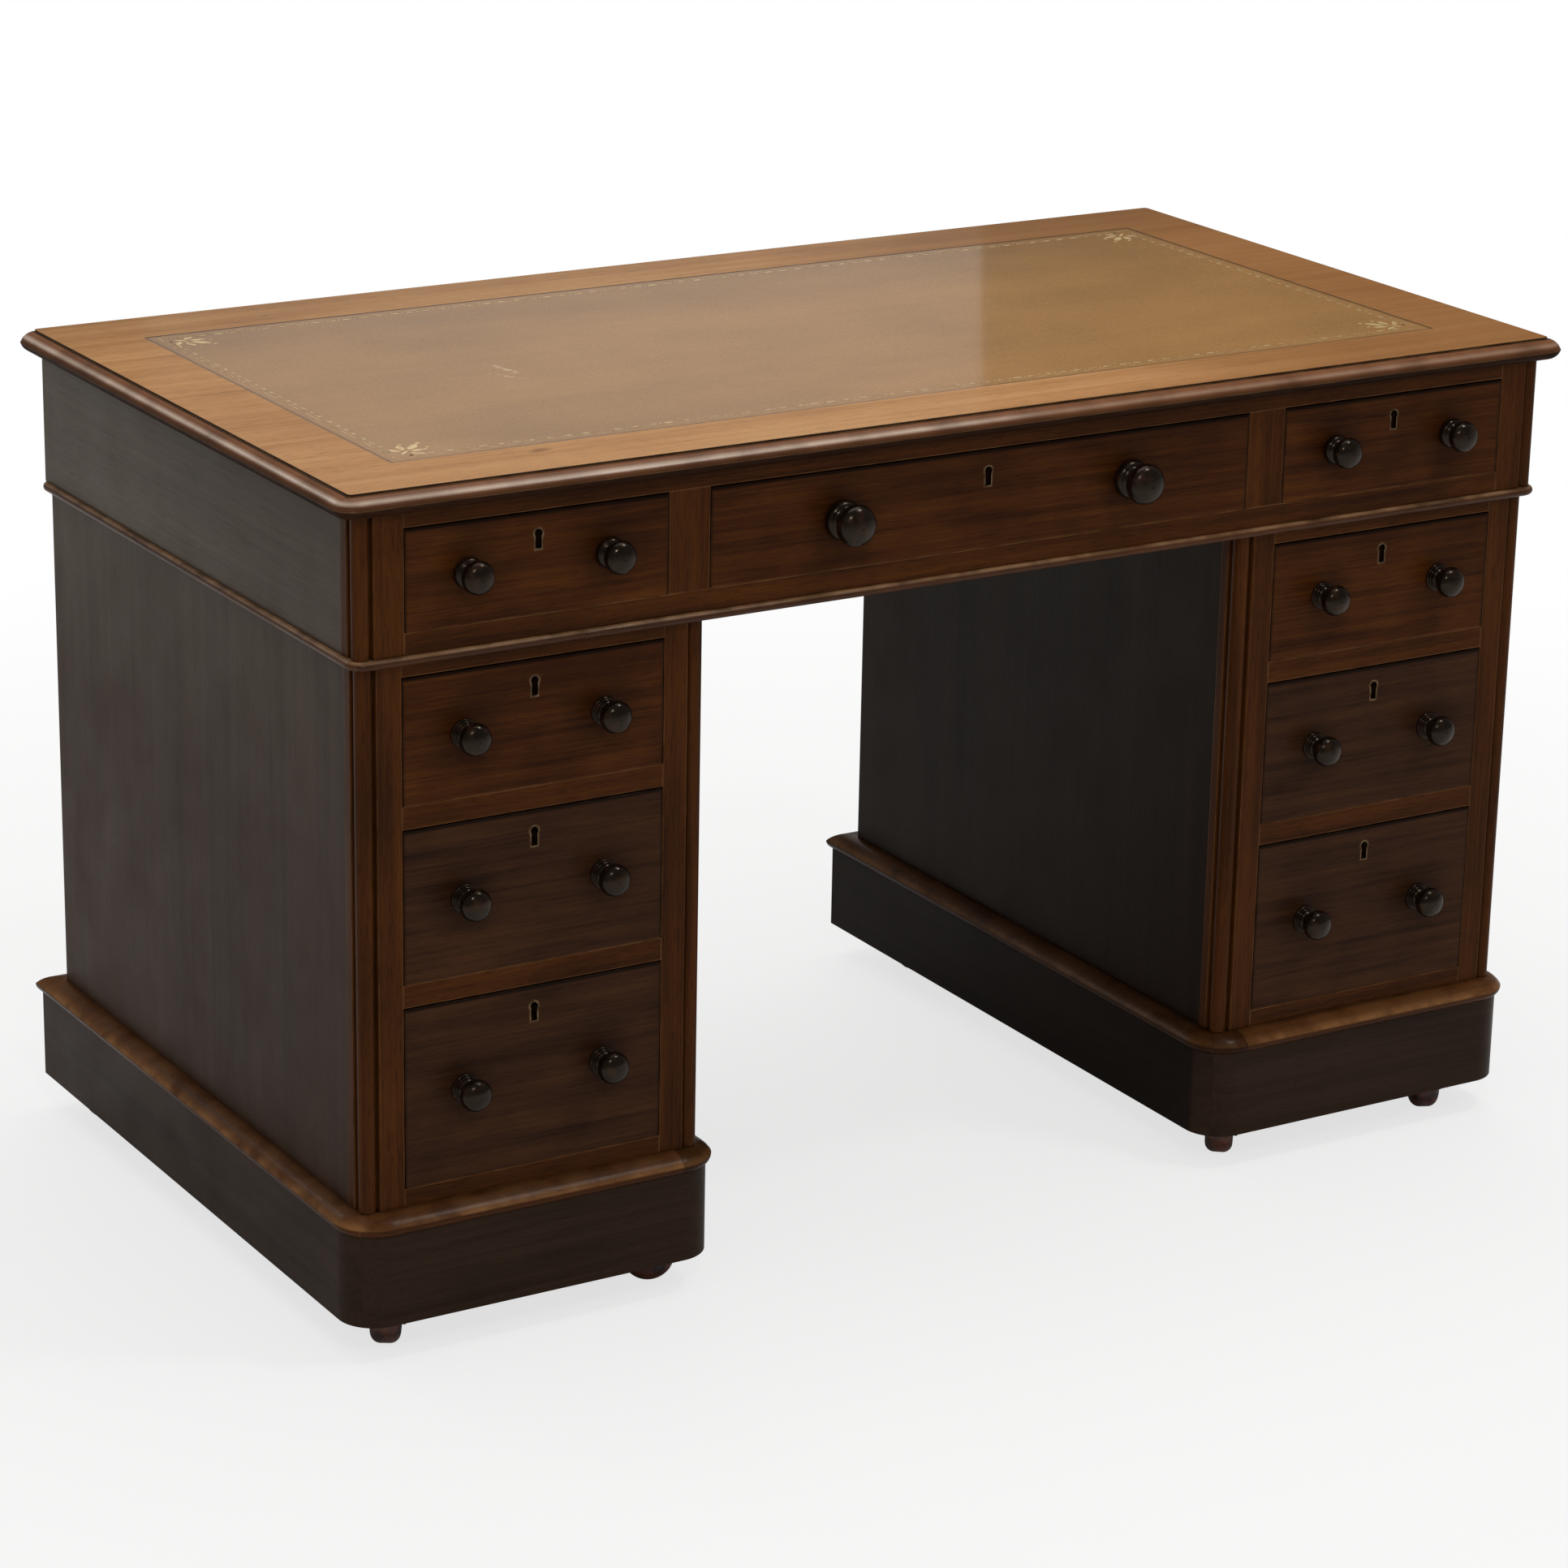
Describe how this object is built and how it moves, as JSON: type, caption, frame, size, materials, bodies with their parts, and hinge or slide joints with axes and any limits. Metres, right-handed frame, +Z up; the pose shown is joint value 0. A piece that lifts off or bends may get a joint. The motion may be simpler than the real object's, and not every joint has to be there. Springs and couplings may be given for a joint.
{
  "type": "pedestal desk",
  "caption": "Mahogany pedestal desk with a leather-inset top, frieze drawers, pedestal drawers with turned knobs, and moulded plinths on castors.",
  "frame": {"origin": "on the floor, under the middle of the whole object's box", "axes": "+X to the right of a viewer in front of the desk, -Y out of the drawer fronts, +Z up"},
  "size_m": [1.246, 0.7006, 0.76],
  "materials": {
    "mahogany": "french polished",
    "mahogany_top": "worn polish",
    "drawer_wood": "polished front",
    "secondary_wood": "unpolished",
    "ebonised_wood": "glossy black",
    "leather": "worn gloss, tooled",
    "brass": "aged",
    "brown_china": "glazed"
  },
  "bodies": {
    "carcase": {"top_board": "mahogany_top", "leather_inset": "leather", "frieze_ends": "mahogany", "frieze_back": "mahogany", "frieze_rails": "mahogany", "frieze_muntins": "mahogany", "frieze_bead": "mahogany", "corner_posts": "mahogany", "runners_and_stops": "secondary_wood", "pedestal_sides": "mahogany", "pedestal_backs": "mahogany", "pedestal_rails": "mahogany", "pedestal_boards": "secondary_wood", "plinth_boards": "mahogany", "plinth_cappings": "mahogany", "castor_blocks": "secondary_wood", "castor_plates": "brass"},
    "drawer_left_frieze": {"drawer_left_frieze": "drawer_wood", "knobs_left_frieze": "ebonised_wood", "lock_left_frieze": "brass"},
    "drawer_right_frieze": {"drawer_right_frieze": "drawer_wood", "knobs_right_frieze": "ebonised_wood", "lock_right_frieze": "brass"},
    "drawer_left_upper": {"drawer_left_upper": "drawer_wood", "knobs_left_upper": "ebonised_wood", "lock_left_upper": "brass"},
    "drawer_right_upper": {"drawer_right_upper": "drawer_wood", "knobs_right_upper": "ebonised_wood", "lock_right_upper": "brass"},
    "drawer_left_middle": {"drawer_left_middle": "drawer_wood", "knobs_left_middle": "ebonised_wood", "lock_left_middle": "brass"},
    "drawer_right_middle": {"drawer_right_middle": "drawer_wood", "knobs_right_middle": "ebonised_wood", "lock_right_middle": "brass"},
    "drawer_left_lower": {"drawer_left_lower": "drawer_wood", "knobs_left_lower": "ebonised_wood", "lock_left_lower": "brass"},
    "drawer_right_lower": {"drawer_right_lower": "drawer_wood", "knobs_right_lower": "ebonised_wood", "lock_right_lower": "brass"},
    "drawer_centre_frieze": {"drawer_centre_frieze": "drawer_wood", "knobs_centre_frieze": "ebonised_wood", "lock_centre_frieze": "brass"},
    "castor_left_outer_front": {"castor_horn_left_outer_front": "brass"},
    "wheel_left_outer_front": {"castor_wheel_left_outer_front": "brown_china"},
    "castor_left_inner_front": {"castor_horn_left_inner_front": "brass"},
    "wheel_left_inner_front": {"castor_wheel_left_inner_front": "brown_china"},
    "castor_left_outer_back": {"castor_horn_left_outer_back": "brass"},
    "wheel_left_outer_back": {"castor_wheel_left_outer_back": "brown_china"},
    "castor_left_inner_back": {"castor_horn_left_inner_back": "brass"},
    "wheel_left_inner_back": {"castor_wheel_left_inner_back": "brown_china"},
    "castor_right_inner_front": {"castor_horn_right_inner_front": "brass"},
    "wheel_right_inner_front": {"castor_wheel_right_inner_front": "brown_china"},
    "castor_right_outer_front": {"castor_horn_right_outer_front": "brass"},
    "wheel_right_outer_front": {"castor_wheel_right_outer_front": "brown_china"},
    "castor_right_inner_back": {"castor_horn_right_inner_back": "brass"},
    "wheel_right_inner_back": {"castor_wheel_right_inner_back": "brown_china"},
    "castor_right_outer_back": {"castor_horn_right_outer_back": "brass"},
    "wheel_right_outer_back": {"castor_wheel_right_outer_back": "brown_china"}
  },
  "joints": [
    {"name": "drawer_left_frieze_slide", "type": "slide", "parent": "carcase", "child": "drawer_left_frieze", "axis": [0, -1, 0], "range_m": [0, 0.42]},
    {"name": "drawer_right_frieze_slide", "type": "slide", "parent": "carcase", "child": "drawer_right_frieze", "axis": [0, -1, 0], "range_m": [0, 0.42]},
    {"name": "drawer_left_upper_slide", "type": "slide", "parent": "carcase", "child": "drawer_left_upper", "axis": [0, -1, 0], "range_m": [0, 0.42]},
    {"name": "drawer_right_upper_slide", "type": "slide", "parent": "carcase", "child": "drawer_right_upper", "axis": [0, -1, 0], "range_m": [0, 0.42]},
    {"name": "drawer_left_middle_slide", "type": "slide", "parent": "carcase", "child": "drawer_left_middle", "axis": [0, -1, 0], "range_m": [0, 0.42]},
    {"name": "drawer_right_middle_slide", "type": "slide", "parent": "carcase", "child": "drawer_right_middle", "axis": [0, -1, 0], "range_m": [0, 0.42]},
    {"name": "drawer_left_lower_slide", "type": "slide", "parent": "carcase", "child": "drawer_left_lower", "axis": [0, -1, 0], "range_m": [0, 0.42]},
    {"name": "drawer_right_lower_slide", "type": "slide", "parent": "carcase", "child": "drawer_right_lower", "axis": [0, -1, 0], "range_m": [0, 0.42]},
    {"name": "drawer_centre_frieze_slide", "type": "slide", "parent": "carcase", "child": "drawer_centre_frieze", "axis": [0, -1, 0], "range_m": [0, 0.42]},
    {"name": "castor_left_outer_front_swivel", "type": "hinge", "parent": "carcase", "child": "castor_left_outer_front", "pos_m": [-0.556, -0.26525, 0.046], "axis": [0, 0, 1], "continuous": true},
    {"name": "wheel_left_outer_front_roll", "type": "hinge", "parent": "castor_left_outer_front", "child": "wheel_left_outer_front", "pos_m": [-0.56424, -0.27897, 0.023], "axis": [0.8572, -0.515, 0], "continuous": true},
    {"name": "castor_left_inner_front_swivel", "type": "hinge", "parent": "carcase", "child": "castor_left_inner_front", "pos_m": [-0.319, -0.26525, 0.046], "axis": [0, 0, 1], "continuous": true},
    {"name": "wheel_left_inner_front_roll", "type": "hinge", "parent": "castor_left_inner_front", "child": "wheel_left_inner_front", "pos_m": [-0.30417, -0.27124, 0.023], "axis": [0.3746, 0.9272, 0], "continuous": true},
    {"name": "castor_left_outer_back_swivel", "type": "hinge", "parent": "carcase", "child": "castor_left_outer_back", "pos_m": [-0.556, 0.28825, 0.046], "axis": [0, 0, 1], "continuous": true},
    {"name": "wheel_left_outer_back_roll", "type": "hinge", "parent": "castor_left_outer_back", "child": "wheel_left_outer_back", "pos_m": [-0.57103, 0.29372, 0.023], "axis": [-0.342, -0.9397, 0], "continuous": true},
    {"name": "castor_left_inner_back_swivel", "type": "hinge", "parent": "carcase", "child": "castor_left_inner_back", "pos_m": [-0.319, 0.28825, 0.046], "axis": [0, 0, 1], "continuous": true},
    {"name": "wheel_left_inner_back_roll", "type": "hinge", "parent": "castor_left_inner_back", "child": "wheel_left_inner_back", "pos_m": [-0.32447, 0.27321, 0.023], "axis": [0.9397, -0.342, 0], "continuous": true},
    {"name": "castor_right_inner_front_swivel", "type": "hinge", "parent": "carcase", "child": "castor_right_inner_front", "pos_m": [0.319, -0.26525, 0.046], "axis": [0, 0, 1], "continuous": true},
    {"name": "wheel_right_inner_front_roll", "type": "hinge", "parent": "castor_right_inner_front", "child": "wheel_right_inner_front", "pos_m": [0.30915, -0.27786, 0.023], "axis": [0.788, -0.6157, 0], "continuous": true},
    {"name": "castor_right_outer_front_swivel", "type": "hinge", "parent": "carcase", "child": "castor_right_outer_front", "pos_m": [0.556, -0.26525, 0.046], "axis": [0, 0, 1], "continuous": true},
    {"name": "wheel_right_outer_front_roll", "type": "hinge", "parent": "castor_right_outer_front", "child": "wheel_right_outer_front", "pos_m": [0.54899, -0.27963, 0.023], "axis": [0.8988, -0.4384, 0], "continuous": true},
    {"name": "castor_right_inner_back_swivel", "type": "hinge", "parent": "carcase", "child": "castor_right_inner_back", "pos_m": [0.319, 0.28825, 0.046], "axis": [0, 0, 1], "continuous": true},
    {"name": "wheel_right_inner_back_roll", "type": "hinge", "parent": "castor_right_inner_back", "child": "wheel_right_inner_back", "pos_m": [0.31677, 0.27241, 0.023], "axis": [0.9903, -0.1392, 0], "continuous": true},
    {"name": "castor_right_outer_back_swivel", "type": "hinge", "parent": "carcase", "child": "castor_right_outer_back", "pos_m": [0.556, 0.28825, 0.046], "axis": [0, 0, 1], "continuous": true},
    {"name": "wheel_right_outer_back_roll", "type": "hinge", "parent": "castor_right_outer_back", "child": "wheel_right_outer_back", "pos_m": [0.54529, 0.27636, 0.023], "axis": [0.7431, -0.6691, 0], "continuous": true}
  ]
}
